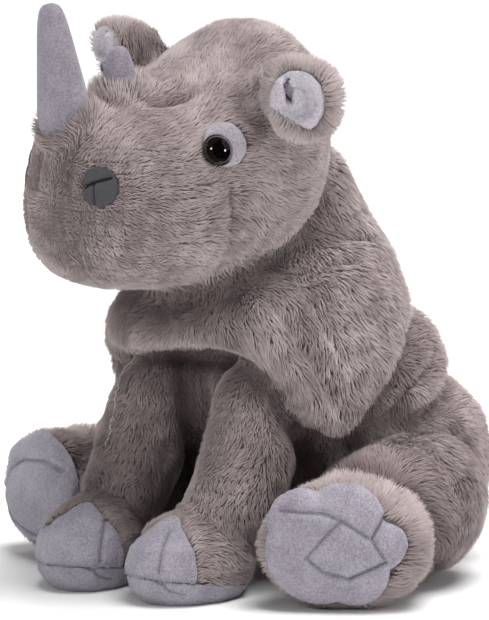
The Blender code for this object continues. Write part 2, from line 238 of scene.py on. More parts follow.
# %% Camera
VIEW_AZIMUTH, VIEW_ELEVATION, VIEW_DISTANCE = radians(44), radians(8), 2.2
VIEW_HEIGHT, VIEW_HALF = 0.128, 0.155  # the aim's height, and half of the frame's taller side
AIM_ACROSS, AIM_BACK = 6.8 * MM, 56.3 * MM  # from between the eyes to the place aimed at
level = cos(VIEW_ELEVATION)
back = Vector((sin(VIEW_AZIMUTH) * level, -cos(VIEW_AZIMUTH) * level, sin(VIEW_ELEVATION)))
sideways = Vector((cos(VIEW_AZIMUTH), sin(VIEW_AZIMUTH), 0))
camera = placed("camera", bpy.data.cameras.new("camera"))
camera.data.sensor_width = 36
camera.data.lens = camera.data.sensor_width / 2 * VIEW_DISTANCE / VIEW_HALF
aim = Vector((between_eyes.x + AIM_ACROSS, between_eyes.y + AIM_BACK, 0))
aim = aim + back.cross(sideways) * VIEW_HEIGHT
camera.location = aim + back * VIEW_DISTANCE
camera.rotation_euler = (-back).to_track_quat("-Z", "Y").to_euler()
bpy.context.scene.camera = camera
bpy.context.scene.view_settings.view_transform = "Standard"
print("Lens", round(camera.data.lens), "mm")

# %% Floor, sky and lamps
only()
bpy.ops.mesh.primitive_plane_add(size=30, location=(0, 0, 0))
floor = bpy.context.object
floor.name = "floor"
floor.visible_glossy = False
sky = bpy.data.worlds.new("studio")
sky.use_nodes = True
sky.node_tree.nodes["Background"].inputs["Color"].default_value = (1, 1, 1, 1)
sky.node_tree.nodes["Background"].inputs["Strength"].default_value = 0.18
bpy.context.scene.world = sky
sky.cycles_visibility.glossy = False


LIT_SPOT = Vector((0, 0, 0.12))  # all lamps point here


def lamp(name, kind, place, power, **settings):
    made = placed(name, bpy.data.lights.new(name, kind))
    made.data.energy = power
    for setting, value in settings.items():
        setattr(made.data, setting, value)
    made.location = place
    made.rotation_euler = (LIT_SPOT - made.location).to_track_quat("-Z", "Y").to_euler()
    made.visible_glossy = name.endswith("glint")


lamp("top_sun", "SUN", (0.3, 0.25, 2.0), 3.7, angle=radians(40))
for name, place, size, watts in (
    ("front_glint", (0.35, -1.8, 0.95), 0.45, 6),
    ("side_glint", (1.75, 0.75, 0.45), 0.45, 6),
    ("side_lamp", (1.7, 0.9, 1.1), 1.0, 3),
    ("front_lamp", (-1.3, -1.5, 0.8), 1.0, 2.5),
    ("back_lamp", (-1.2, 1.5, 1.2), 1.0, 13),
):
    lamp(name, "AREA", place, watts, shape="DISK", size=size)
print("Six lamps and a floor")

# %% [markdown]
# ## Finishes
# A finish is a Principled shader fed by a few patterns. Numbers that vary over the surface are worked
# out with the small class below, which turns sums and products into Math nodes.

# %% Shader maths
class Value:
    """A number or colour that varies over a surface. Arithmetic on it adds Math nodes."""

    def __init__(self, finish, socket):
        self.finish, self.socket = finish, socket

    def math(self, operation, other):
        return self.finish.node("Math", {"operation": operation}, {0: self, 1: other})

    def __add__(self, other):
        return self.math("ADD", other)

    def __mul__(self, other):
        return self.math("MULTIPLY", other)

    __radd__, __rmul__ = __add__, __mul__

    def between(self, low, high):
        """0 below low, 1 above high and smooth in between."""
        settings = {"interpolation_type": "SMOOTHSTEP"}
        return self.finish.node("MapRange", settings, {"Value": self, 1: low, 2: high, 3: 0, 4: 1})


class Finish:
    """A material under construction, with its Principled shader's plain settings."""

    def __init__(self, name, **plain):
        self.material = bpy.data.materials.new(name)
        self.material.use_nodes = True
        self.tree = self.material.node_tree
        self.shader = self.tree.nodes["Principled BSDF"]
        self.wear(**plain)

    def fill(self, socket, value):
        """Links a varying value to a socket or sets a plain one. A colour's alpha is 1."""
        if isinstance(value, Value):
            self.tree.links.new(value.socket, socket)
        else:
            socket.default_value = (*value, 1) if socket.type == "RGBA" else value

    def node(self, kind, settings=None, inputs=None, output=0):
        made = self.tree.nodes.new("ShaderNode" + kind)
        for name, value in (settings or {}).items():
            if name == "stops":
                elements = made.color_ramp.elements
                while len(elements) < len(value):
                    elements.new(0.5)
                for stop, (place, colour) in zip(elements, value):
                    stop.position, stop.color = place, (*colour, 1)
            else:
                setattr(made, name, value)
        for name, value in (inputs or {}).items():
            self.fill(made.inputs[name], value)
        return Value(self, made.outputs[output])

    def reading(self, label):
        """A number stored at the mesh's points."""
        return self.node("Attribute", {"attribute_name": label}, output="Fac")

    def noise(self, scale, detail=2, rough=0.5):
        """Soft noise; scale is in bumps per metre."""
        inputs = {"Vector": self.node("TexCoord", output="Object"), "Scale": scale}
        return self.node("TexNoise", None, {**inputs, "Detail": detail, "Roughness": rough})

    def mix(self, share, first, second, blend="MIX"):
        """Colour first where share is 0, second where it is 1."""
        settings = {"data_type": "RGBA", "blend_type": blend}
        return self.node("Mix", settings, {0: share, 6: first, 7: second}, output=2)

    def bump(self, height, depth):
        """Tilts the surface as if height, from 0 to 1, raised it by depth."""
        return self.node("Bump", None, {"Height": height, "Distance": depth, "Strength": 1.0})

    def wear(self, **settings):
        """Sets the shader's sockets to patterns or plain values and gives the material back."""
        for name, value in settings.items():
            self.fill(self.shader.inputs[name.replace("_", " ").title().replace("Ior", "IOR")], value)
        return self.material


# %% Pale floor
paper = Finish("pale_floor", roughness=0.9)
paper_tone = paper.mix(paper.noise(3), (0.9, 0.9, 0.9), (0.93, 0.93, 0.93))
floor.data.materials.append(paper.wear(base_color=paper_tone))

# %% [markdown]
# ## The skin
# All the pile fabric is one skin. Copies of its solids, and of the panels sewn into it, are each grown
# by half a millimetre so that they overlap, then remeshed into a single closed surface and smoothed. Last
# it is drawn in by the depth of the pile, because the solids reach out to the tips.

# %% The pieces of the pattern, and how deep the pile is on each
PILE_DEPTH = {
    "head": 4.6, "neck": 6, "shoulders": 5.6, "trunk": 5.4, "rump": 5.2, "tail": 2.4, "ear": 3.0,
    "front_leg": 4.2, "front_foot": 3.6, "hind_leg": 4.8,
}
PANEL_DEPTH = {  # how deep the skin lies behind a smooth panel
    "ear_lining": 4.4, "eye_patch": 3.4, "nostril": 6.5, "toe_cap": 2.4, "front_sole": 2.4, "hind_sole": 4,
}


def family(node):
    """The node's name without its side."""
    return node.removesuffix("_left").removesuffix("_right")


pile_nodes = [node for node in frame["nodes"] if family(node) in PILE_DEPTH]
panel_nodes = [node for node in frame["nodes"] if family(node) in PANEL_DEPTH]
skin_nodes = pile_nodes + panel_nodes
print(len(pile_nodes), "pile nodes and", len(panel_nodes), "smooth panels in the skin")


# %% Copies of the frame's solids
def copy_of(name, nodes, grow=0.0):
    """One new object from copies of some solids, each grown by so many millimetres."""
    joined = bmesh.new()
    for node in nodes:
        part = bmesh.new()
        part.from_mesh(frame["nodes"][node].data)
        bmesh.ops.remove_doubles(part, verts=part.verts, dist=0.01 * MM)
        part.normal_update()
        for vert in part.verts:
            vert.co += vert.normal * (grow * MM)
        lone = bpy.data.meshes.new("lone")
        part.to_mesh(lone)
        part.free()
        joined.from_mesh(lone)
        bpy.data.meshes.remove(lone)
    mesh = bpy.data.meshes.new(name)
    joined.to_mesh(mesh)
    joined.free()
    return placed(name, mesh)


def nearest_node_finder(nodes):
    """A search tree over some solids, and which of them each face belongs to."""
    corners, faces, owners = [], [], []
    for index, node in enumerate(nodes):
        mesh = frame["nodes"][node].data
        start = len(corners)
        corners.extend(vert.co.copy() for vert in mesh.vertices)
        faces.extend([start + k for k in face.vertices] for face in mesh.polygons)
        owners.extend([index] * len(mesh.polygons))
    return BVHTree.FromPolygons(corners, faces), np.array(owners)


# %% The ears lean back into the head on their inner sides, and the right one's lobe is drawn up
GROWN = 0.5
EAR_BACK, EAR_FROM, EAR_OVER = 9, -10, 9  # how far back, from where across the ear, and over how much
EAR_RIM, EAR_IN = -13, 0.5  # the inner rim from there on is this much narrower
EAR_SHELL = (-14, 8)  # but not behind here, and over how much
EAR_LIFT = {"left": 1.0, "right": 0.68}
EAR_ROOT, EAR_LOOSE = 12, 12  # how far from its inner end an ear starts to give, and over how much


def lifted(points, side):
    """The points of one ear with its lobe drawn up towards its top."""
    low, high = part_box(f"ear_{side}")
    from_head = (points[:, 0] / MM - (low.x if side == "left" else high.x) / MM) * SIDES[side]
    give = ramp(from_head, EAR_ROOT, EAR_LOOSE) * (1 - EAR_LIFT[side])
    moved = points.copy()
    moved[:, 2] += (high.z - points[:, 2]) * give
    return moved


ears = copy_of("ears", ["ear_left", "ear_right"], GROWN)
points = points_of(ears.data)
for side, sign in SIDES.items():
    across, up, out = on_pad(points, f"ear_lining_{side}").T
    mine = sign * (points[:, 0] - between_eyes.x) > 0
    back_by = EAR_BACK * ramp(across, EAR_FROM, -EAR_OVER) * mine
    directions = pad_frame(f"ear_lining_{side}")[1]
    points = points - np.outer(back_by * MM, directions[2])
    narrower = np.clip((EAR_RIM - across) * EAR_IN, 0, None) * ramp(out, *EAR_SHELL) * mine
    points = points + np.outer(narrower * MM, directions[0])
    points = np.where(mine[:, None], lifted(points, side), points)
set_points(ears.data, points)
print("The ears' inner sides move back by", EAR_BACK, "mm")

# %% One closed surface
SKIN_VOXEL = 2.0
skin = copy_of("skin", [node for node in skin_nodes if family(node) != "ear"], GROWN)
only(skin, ears)
bpy.ops.object.join()
skin = remeshed(skin, SKIN_VOXEL)
only(skin)
highest = int(points_of(skin.data)[:, 2].argmax())
bpy.ops.object.mode_set(mode="EDIT")
bpy.ops.mesh.select_all(action="DESELECT")
bpy.ops.object.mode_set(mode="OBJECT")
skin.data.vertices[highest].select = True
bpy.ops.object.mode_set(mode="EDIT")
bpy.ops.mesh.select_mode(type="VERT")
bpy.ops.mesh.select_linked()
bpy.ops.mesh.select_all(action="INVERT")
bpy.ops.mesh.delete(type="VERT")  # small closed hollows between the solids
bpy.ops.object.mode_set(mode="OBJECT")
print("The skin has", len(skin.data.polygons), "faces")


# %% Its net of edges, for smoothing anything over it
class Net:
    """The edges of a mesh. It spreads values from each point to its neighbours."""

    def __init__(self, mesh):
        self.count = len(mesh.vertices)
        pairs = read(mesh.edges, "vertices", 2, np.int64)
        self.at = np.concatenate([pairs[:, 0], pairs[:, 1]])
        self.beside = np.concatenate([pairs[:, 1], pairs[:, 0]])
        self.degree = np.maximum(np.bincount(self.at, minlength=self.count), 1)

    def neighbours_mean(self, values):
        columns = values.reshape(self.count, -1)
        sums = [np.bincount(self.at, column[self.beside], self.count) for column in columns.T]
        return (np.stack(sums, 1) / self.degree[:, None]).reshape(values.shape)

    def smoothed(self, values, rounds):
        for _ in range(rounds):
            values = values + 0.5 * (self.neighbours_mean(values) - values)
        return values


skin_net = Net(skin.data)
surface = skin_net.smoothed(points_of(skin.data), 8)
set_points(skin.data, surface)
print("The net has", len(skin_net.at) // 2, "edges")

# %% Which piece of the pattern each point belongs to
tree, face_owner = nearest_node_finder(skin_nodes)
owner = np.array([face_owner[tree.find_nearest(Vector(point))[2]] for point in surface])
kinds = [family(node) for node in skin_nodes]
owner_kind = np.array(kinds)[owner]
owner_side = np.array([-1 if node.endswith("_right") else 1 for node in skin_nodes])[owner]
for kind, past, cover in (("toe_cap", past_cap, "front_foot"), ("ear_lining", past_lining, "ear")):
    for side, sign in SIDES.items():
        owner_kind[(owner_kind == kind) & (owner_side == sign) & (past(surface, side) > 0)] = cover
depth = np.array([(PILE_DEPTH | PANEL_DEPTH)[kind] for kind in owner_kind])
depth = skin_net.smoothed(depth, 6)
print({kind: int((owner_kind == kind).sum()) for kind in sorted(set(kinds))})

# %% [markdown]
# Where two pieces meet the fabric dips into the seam, and where a limb bends it folds. Each dip is
# pressed along a line: either the border between two groups of pieces, or a few given points.

# %% Distances to borders and lines
def border_points(first, second):
    """The middles of the skin's edges that run from one kind of piece into a group of others."""
    crossing = (owner_kind[skin_net.at] == first) & np.isin(owner_kind[skin_net.beside], second)
    return (surface[skin_net.at[crossing]] + surface[skin_net.beside[crossing]]) / 2


def distance_to_points(points, goals):
    tree = KDTree(len(goals))
    for index, goal in enumerate(goals):
        tree.insert(goal, index)
    tree.balance()
    return np.array([tree.find(point)[2] for point in points])


def stretches(line):
    """The beginning and the end of each straight stretch of a line."""
    return zip(np.array(line[:-1], float), np.array(line[1:], float))


def distance_to_line(points, line):
    nearest = np.full(len(points), 1e9)
    for first, second in stretches(line):
        along = second - first
        share = np.clip((points - first) @ along / (along @ along), 0, 1)
        nearest = np.minimum(nearest, np.linalg.norm(points - first - share[:, None] * along, axis=1))
    return nearest


def over_surface(line, places, pitch=6):
    """The same line in short stretches, brought to the nearest of the places."""
    path = []
    for first, second in stretches(line):
        count = max(int(np.linalg.norm(second - first) / pitch), 1)
        path += [first + (second - first) * k / count for k in range(count)]
    path.append(np.array(line[-1], float))
    return [places[np.linalg.norm(places - point, axis=1).argmin()] for point in path]


# %% The hem of the cape hangs lower across the right of the chest
HEM_DROP, HEM_MIDDLE, HEM_WIDTH = 7, -32, 25  # how far, about which place across, and how wide, in mm
HEM_FRONT, HEM_LOW = (-15, -15), (142, -24)  # only forwards of here, and below here
across, along, height = (surface / MM).T
drop = HEM_DROP * hollow(across - HEM_MIDDLE, HEM_WIDTH)
drop = drop * ramp(along, *HEM_FRONT) * ramp(height, *HEM_LOW)
drop = skin_net.smoothed(drop * (owner_kind == "shoulders"), 3)
surface[:, 2] -= drop * MM
set_points(skin.data, surface)
print("The hem drops", drop.max().round(1), "mm")

# %% Press the seams between the pieces
# The piece, the pieces it meets, how deep each of the two is pressed, and how wide, all in mm.
BORDERS = (
    ("head", ("neck", "shoulders"), 0, 11, 13),
    ("shoulders", ("neck",), 0, 2, 6),
    ("shoulders", ("front_leg", "trunk", "rump", "hind_leg"), 0, 8, 10),
    ("front_leg", ("trunk", "hind_leg", "rump"), 3, 5, 7),
    ("front_foot", ("hind_leg", "rump"), 3, 4, 7),
    ("trunk", ("rump", "hind_leg"), 4, 4, 7),
    ("rump", ("hind_leg",), 4, 4, 7),
    ("ear", ("head",), 2, 1.5, 4),
    ("tail", ("rump", "trunk"), 1, 2, 4),
)
# Seams between pieces are painted darker too: painted shade in the seam, with the darker roots of the parted
# pile.
BORDER_SHADE = 0.9  # how dark the pile looks in them
outward = unit(skin_net.smoothed(normals_of(skin.data), 3))
pressed, border_dips = np.zeros(len(surface)), np.zeros(len(surface))
for first, second, first_depth, second_depth, width in BORDERS:
    border = border_points(first, second)
    if not len(border):
        continue
    dip = hollow(distance_to_points(surface, border) / MM, width)
    sides = (owner_kind == first) * first_depth + np.isin(owner_kind, second) * second_depth
    pressed = np.maximum(pressed, dip * sides)
    border_dips = np.maximum(border_dips, dip * (sides > 0))
    print(first, "meets", "/".join(second), "at", len(border), "edges")

# %% Press the seams and folds inside the pieces
# Points in mm, depth, width, and how much darker the pile is painted there: painted shade in the fold, with
# the darker roots that show where the pile parts, and a paler line on the frayed seam. All are on both
# sides.
HEAD_SEAMS = (
    (((17, -69, 239), (20, -63, 240), (23, -54, 243)), 6.5, 5.5, 0.5),  # where the muzzle meets the brow
    (((50, -52, 213), (54, -51, 203), (53.5, -50.5, 190)), 3.6, 3, 1.0),  # dart under the eye
    (((53.5, -50.5, 190), (50, -50, 178), (42, -49.5, 164)), 2.4, 3, 0.3),
    (((22, -115, 194), (16, -110, 164)), 2.6, 2.6, 0.6),  # under the nostril
    (((8, -112, 223), (9.5, -117, 201)), 3, 3, 0.7),  # beside the middle of the face
)
BODY_FOLDS = (
    (((64, 17, 96), (60, 5, 88), (57, -6, 83)), 7, 4.5, 0.5),  # pleat at the hem of the cape
    (((38, -51, 147), (53, -38.5, 120.5), (62, -27, 93)), 3, 6, 0.1),  # the cape over the shoulder
    (((46, -31, 141), (55, -23, 126), (61, -15, 111)), 2, 5, 0.1),
    (((40, -25, 148), (40.5, -4, 155.5), (45, 6, 156)), 3.5, 4, 0.35),  # top of the shoulder
    (((35, -4, 167), (37, 10, 167), (39, 21, 165)), 3, 4, 0.3),  # under the collar
    # belly over thigh
    (((49.5, 1, 68), (57.5, 6.5, 73), (61, 21, 77.5), (60, 41, 80.5), (54, 64, 82)), 7, 5, 1.5),
    (((59, 14, 81), (63, 21, 89), (65, 31.5, 98), (58, 52, 106)), 5, 4.5, 1.1),  # belly
    (  # ankle
        ((74, -29, 57), (98, -26, 55), (104, -17, 50), (111, -11, 39), (110.5, -5, 28), (96, 10, 11)),
        8, 5, 0.8,
    ),
    # deep between the front and hind legs
    (((45, -1.5, 70.5), (40, -7, 67.5), (33, -6.5, 60), (24, -2, 51)), 2, 11, 2.2),
    (((22, -33, 99), (22, -35, 88), (25, -38, 77)), 0, 11, 1.3),  # inner side of the front legs
    (((47, -50, 108), (46, -62.5, 85), (43, -73, 62)), 1.4, 2, -0.6),  # pale frayed seam of the leg
)
SHADE_LINE_WIDTH = 0.6  # of the fold's own
# How much darker each point is painted: painted shade in folds and seams, and paler on the frayed seam.
shade_and_seam_tone = np.zeros(len(surface))
for lines, place in ((HEAD_SEAMS, in_head(surface)), (BODY_FOLDS, surface / MM)):
    for line, deep, width, darker in lines:
        for side in SIDES.values():
            off = distance_to_line(place, over_surface([(x * side, y, z) for x, y, z in line], place))
            pressed = np.maximum(pressed, deep * hollow(off, width))
            shade_and_seam_tone = shade_and_seam_tone + darker * hollow(off, SHADE_LINE_WIDTH * width)
pressed = skin_net.smoothed(pressed, 1)
shade_and_seam_tone = np.clip(shade_and_seam_tone + BORDER_SHADE * border_dips, -1, 1)
print("The deepest crease is", pressed.max().round(1), "mm")

# %% Draw it in by the depth of the pile, but less so round the horns
HORN_COLLAR, HORN_REACH = 6, 5  # how high the fabric stands there, and how far round a horn
horns, _ = nearest_node_finder(["horn_front", "horn_rear"])


def from_horns(points):
    """How far each point is from the nearer horn, in mm, and the way to it."""
    offs, ways = np.full(len(points), 1e3), np.zeros((len(points), 3))
    for index, point in enumerate(points):
        found, _, _, off = horns.find_nearest(Vector(point), 4 * HORN_REACH * MM)
        if off:
            offs[index], ways[index] = off / MM, (np.array(found) - point) / off
    return offs, ways


raised = HORN_COLLAR * hollow(from_horns(surface)[0], HORN_REACH)
surface = surface - outward * (depth + pressed - raised)[:, None] * MM
surface = skin_net.smoothed(surface, 3)
set_points(skin.data, surface)
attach(skin, "root")
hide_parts(*pile_nodes)
print("The skin is", len(skin.data.vertices), "points")

# %% [markdown]
# ## The lie of the pile
# Pile is brushed one way on each piece of the pattern: back over the head, down the body and the legs,
# and out round the soles and ear linings. The directions are laid flat on the skin and blended where
# pieces meet.

# %% Which way the pile lies
MUZZLE_PARTING, EYE_PARTINGS = (0, -150, 196), ((40, -62, 228), (-40, -62, 228))  # in the head's frame
BEHIND_EYE = (-62, 30)  # from where, and over how much, it parts at the eye and no more at the muzzle
BACK_AND_DOWN = (0, 0.5, -0.35)  # where it turns to from the eye on
SOLE_NEAR, LINING_NEAR = (80, -25), (30, -8)  # up to where, and over how much, it fans out from a panel


def away_from(points, parting):
    return unit(points - np.array(parting, float))


local = in_head(surface)
turn = np.array(head_turn)[:3, :3]
muzzle_away = away_from(local, MUZZLE_PARTING)
eye_away = np.where(local[:, :1] > 0, *(away_from(local, parting) for parting in EYE_PARTINGS))
behind_eye = ramp(local[:, 1:2], *BEHIND_EYE)
on_head = unit(muzzle_away * (1 - behind_eye) + (eye_away + BACK_AND_DOWN) * behind_eye)


def away_from_node(kind):
    """Away from the middle of the nearest left or right node, and how far off that middle is in mm."""
    middle = np.where(owner_side[:, None] > 0, *(np.array(middle_of(f"{kind}_{side}")) for side in SIDES))
    return unit(surface - middle), np.linalg.norm(surface - middle, axis=1, keepdims=True) / MM


def sided(direction):
    """A direction that is mirrored on the right side."""
    return unit(np.stack([direction[0] * owner_side, *(np.full(len(surface), d) for d in direction[1:])], 1))


round_sole, sole_off = away_from_node("hind_sole")
near_sole = ramp(sole_off, *SOLE_NEAR)
hind_out = unit(round_sole * near_sole + sided((0.15, -0.25, -0.95)) * (1 - near_sole))
round_lining, lining_off = away_from_node("ear_lining")
near_lining = ramp(lining_off, *LINING_NEAR)
ear_out = unit(round_lining * near_lining + sided((0.75, 0.25, 0.6)) * (1 - near_lining))
STRAIGHT = {
    "neck": (0, 0.4, -1), "shoulders": (0, 0.15, -1), "trunk": (0, 0.5, -0.9), "rump": (0, 0.55, -0.8),
    "tail": (0, 0.2, -1), "front_leg": (0, -0.25, -1), "front_foot": (0, 0.8, -0.5),
    "toe_cap": (0, 0.8, 0.5), "front_sole": (0, 1, 0),
}
lies = {kind: np.tile(unit(np.array(way, float)), (len(surface), 1)) for kind, way in STRAIGHT.items()}
lies.update(dict.fromkeys(("head", "nostril", "eye_patch"), on_head @ turn.T))
lies.update(dict.fromkeys(("ear", "ear_lining"), ear_out))
lies.update(dict.fromkeys(("hind_leg", "hind_sole"), hind_out))
lie = np.zeros_like(surface)
for kind, directions in lies.items():
    lie[owner_kind == kind] = directions[owner_kind == kind]
outward = normals_of(skin.data)
for _ in range(12):
    lie = skin_net.smoothed(lie, 2)
    lie = unit(lie - outward * (lie * outward).sum(1, keepdims=True))
print("The pile lies", np.abs((lie * outward).sum(1)).max().round(3), "off the skin")

# %% [markdown]
# ## The coat
# Each tuft is a slim bent spindle of three sides: it leaves the skin steeply, is widest at its knee and
# bends over towards the lie of the pile. Neighbours lean into shared locks and ripple together. Tufts
# are built as arrays and joined into a few pieces.

# %% How the tufts grow on each piece
TUFTS = {  # their length and width in mm, and how many grow on each face of the skin
    "head": (5.6, 0.56, 3), "neck": (8, 0.8, 1), "shoulders": (8, 0.66, 2.9), "trunk": (8, 0.68, 2.4),
    "rump": (8, 0.7, 2.2), "tail": (4.2, 0.55, 3), "ear": (5, 0.54, 3), "front_leg": (6, 0.6, 2.9),
    "front_foot": (5, 0.58, 2.8), "hind_leg": (7.2, 0.64, 2.6),
}
LEAN_AT_ROOT, LEAN_AT_TIP = radians(32), radians(66)
UP_AT_HORN, UP_AT_RIM = 0.75, 0.5  # how much steeper tufts stand round the horns and at rims, in radians
ROOTS_AT_HORN, HORN_NEAR = 0.6, 2  # how much less they lean at the root there, and within how many mm
UNEVEN = (0.8, 1.15)  # how single tufts differ in length
ROOTED, KNEE_AT, TIP_AFTER = 0.6, 0.45, 0.6  # root's depth in mm, and shares of the tuft's length
NAP_FROM, NAP_TO, NAP_SHARE = -118, -58, 0.62  # on the muzzle: shortest here, full here, and how short
HORN_FLUFF, RIM_FLUFF, SHORT_IN_SEAM = 4, 2.0, 0.5  # mm longer, mm longer, and a share shorter
SOLE_RIM, LINING_RIM = (38, 8), (15, 6, 2.5)  # how far from a panel's middle, how wide, how strong
LOCK_SPACING, GATHER = 5.5 * MM, 0.25
RIPPLES = 7
rng = np.random.default_rng(11)


def ripple(points, wave_mm, seed):
    """Smooth noise about -1 to 1 made of a few sine waves."""
    waves = np.random.default_rng(seed)
    directions = unit(waves.normal(size=(RIPPLES, 3))) * 2 * pi / (wave_mm * MM)
    phases = waves.uniform(0, 2 * pi, RIPPLES)
    return np.sin(points @ directions.T + phases).sum(1) * sqrt(2 / RIPPLES) / 1.5


# %% Roots, spread evenly over the skin's faces
THIRDS, SPREAD = ((0.22, 0.28), (0.76, 0.3), (0.5, 0.77)), 0.22  # middles of three parts of a face
only(skin)
bpy.ops.object.mode_set(mode="EDIT")
bpy.ops.mesh.select_all(action="SELECT")
bpy.ops.uv.smart_project(angle_limit=radians(80), island_margin=0.001)
bpy.ops.object.mode_set(mode="OBJECT")
skin.data.uv_layers[0].name = "OFBake"
corners = read(skin.data.loops, "vertex_index", 1, np.int64).reshape(-1, 4)
unwrap = read(skin.data.uv_layers["OFBake"].data, "uv", 2).reshape(-1, 4, 2).astype(float)

on_pile = np.isin(owner_kind, list(PILE_DEPTH))[corners]
face_kind = owner_kind[corners[np.arange(len(corners)), on_pile.argmax(1)]]
wanted = np.array([TUFTS.get(kind, (0, 0, 0))[2] for kind in face_kind])
wanted[on_pile.sum(1) < 2] = 0  # most of the face is under a smooth panel
grown = []
for number, middle in enumerate(THIRDS):
    faces = np.flatnonzero(rng.random(len(wanted)) < wanted - number)
    grown.append((faces, *(place + rng.uniform(-SPREAD, SPREAD, len(faces)) for place in middle)))
root_face, u, v = (np.concatenate(column) for column in zip(*grown))
share = np.stack([(1 - u) * (1 - v), u * (1 - v), u * v, (1 - u) * v], 1)
print(len(root_face), "tufts")


def at_roots(values):
    """Values known at the skin's points, at each root."""
    return (values[corners[root_face]] * share[:, :, None]).sum(1)


root = at_roots(surface)
root_up = unit(at_roots(outward))
root_lie = at_roots(lie)
root_uv = (unwrap[root_face] * share[:, :, None]).sum(1)
root_kind = face_kind[root_face]
root_shade_and_seam_tone = at_roots(shade_and_seam_tone[:, None])[:, 0]
length, width = np.array([TUFTS[kind][:2] for kind in root_kind]).T

# %% How long each tuft is
near_rim = np.maximum(
    hollow(sole_off - SOLE_RIM[0], SOLE_RIM[1]) * (owner_kind == "hind_leg")[:, None],
    LINING_RIM[2] * hollow(lining_off - LINING_RIM[0], LINING_RIM[1]) * (owner_kind == "ear")[:, None],
)
rim_fluff = np.minimum(at_roots(near_rim)[:, 0], 1)
on_muzzle = (root_kind == "head") * ramp(in_head(root)[:, 1], NAP_TO, NAP_FROM - NAP_TO)
length = length * (1 - (1 - NAP_SHARE) * on_muzzle) * rng.uniform(*UNEVEN, len(root))
horn_off, horn_way = from_horns(root)
beside_horn = hollow(np.maximum(horn_off - HORN_NEAR, 0), HORN_REACH)
length = length + HORN_FLUFF * beside_horn
length = length * (1 - SHORT_IN_SEAM * np.clip(root_shade_and_seam_tone, 0, 1))
length = length + RIM_FLUFF * rim_fluff
print("The tufts are", length.min().round(1), "to", length.max().round(1), "mm long")

# %% Bend them and gather them into locks
def wavering(waves, jitter):
    """Ripples over the roots, each by its strength, its length in mm and its seed, with some jitter."""
    total = sum(strength * ripple(root, wave, seed) for strength, wave, seed in waves)
    return total + rng.normal(0, jitter, len(root))


def leaning(angle):
    return root_up * np.cos(angle)[:, None] + root_lie * np.sin(angle)[:, None]


root_lie = root_lie * (1 - beside_horn)[:, None] + horn_way * beside_horn[:, None]
swing = wavering(((0.45, 34, 3), (0.3, 13, 4)), 0.16)
cross = np.cross(root_up, root_lie)
root_lie = root_lie * np.cos(swing)[:, None] + cross * np.sin(swing)[:, None]
root_lie = unit(root_lie - root_up * (root_lie * root_up).sum(1, keepdims=True))
rise = LEAN_AT_TIP + wavering(((0.16, 22, 5),), 0.08)
rise = rise - UP_AT_HORN * beside_horn - UP_AT_RIM * rim_fluff
reach = (length * MM)[:, None]
start = root - root_up * ROOTED * MM
knee = root + leaning(LEAN_AT_ROOT * (1 - ROOTS_AT_HORN * beside_horn)) * reach * KNEE_AT
tip = knee + leaning(rise) * reach * TIP_AFTER

lock = np.unique(np.round(root / LOCK_SPACING).astype(int), axis=0, return_inverse=True)[1].ravel()
members = np.bincount(lock)
lock_tip = np.stack([np.bincount(lock, column) for column in tip.T], 1) / members[:, None]
tip = tip + GATHER * (lock_tip[lock] - tip)
lock_shade = np.random.default_rng(7).normal(0, 1, len(members))[lock]
for places, lowest in ((start, 0.3), (knee, 0.4), (tip, 0.3)):  # none goes into the floor
    places[:, 2] = np.maximum(places[:, 2], lowest * MM)
print(len(members), "locks")

# %% [markdown]
# The pile is painted darker at its roots and paler at its tips, as shade deep among the tufts and light on
# their ends, and each tuft has its own tone. The backing under it has the same colours. Under the smooth
# panels the skin is lavender, so that no seam gapes.

# %% The lavender finish
def lavender(name, deep, pale):
    """Short lavender nap: pebbled, a little cloudy, and darker where the attribute shade says so."""
    nap = Finish(name, roughness=0.8, specular_ior_level=0.2)
    nap.wear(sheen_weight=0.5, sheen_roughness=0.35, sheen_tint=(0.93, 0.92, 1))
    pebbles, clouds = nap.noise(1000, 2, 0.6), nap.noise(80, 3)
    colour = nap.mix((pebbles * 0.75 + clouds * 0.4).between(0.35, 0.8), deep, pale)
    colour = nap.mix(nap.reading("shade"), colour, (0.045, 0.038, 0.048))
    return nap.wear(base_color=colour, normal=nap.bump(pebbles + 0.4 * nap.noise(2800, 2), 0.7 * MM))


nap_finish = lavender("lavender_minky", (0.27, 0.248, 0.295), (0.46, 0.43, 0.49))
dusky_finish = lavender("dusky_lavender_minky", (0.23, 0.205, 0.245), (0.39, 0.355, 0.405))
patch_finish = lavender("patch_lavender_minky", (0.34, 0.305, 0.34), (0.5, 0.455, 0.5))
pale_finish = lavender("pale_lavender_minky", (0.46, 0.43, 0.475), (0.68, 0.645, 0.69))

# %% The coat's finish
fur = Finish("taupe_plush", roughness=0.85, specular_ior_level=0.2)
fur.wear(sheen_weight=0.5, sheen_roughness=0.45, sheen_tint=(0.9, 0.84, 0.82))
# Dark roots are painted shade among the tufts, and pale tips are painted light on their ends.
DARK, MIDDLE, LIGHT = (0.185, 0.142, 0.14), (0.33, 0.266, 0.262), (0.58, 0.495, 0.488)
stops = ((0, DARK), (0.45, MIDDLE), (1, LIGHT))
paleness = fur.reading("along") * 0.5 + fur.reading("tone") * 0.5
coat_finish = fur.wear(base_color=fur.node("ValToRGB", {"stops": stops}, {"Fac": paleness}))

# The backing is painted between the root and middle colours, as the painted shade under the pile.
hide = Finish("taupe_backing", roughness=0.95, sheen_weight=0.3)
patchy = hide.mix(hide.noise(900, 3), DARK, MIDDLE)
skin.data.materials.clear()
skin.data.materials.append(hide.wear(base_color=patchy, normal=hide.bump(hide.noise(1400, 3), 0.8 * MM)))
skin.data.materials.append(nap_finish)
write(skin.data.polygons, "material_index", (~on_pile).all(1), np.int32)


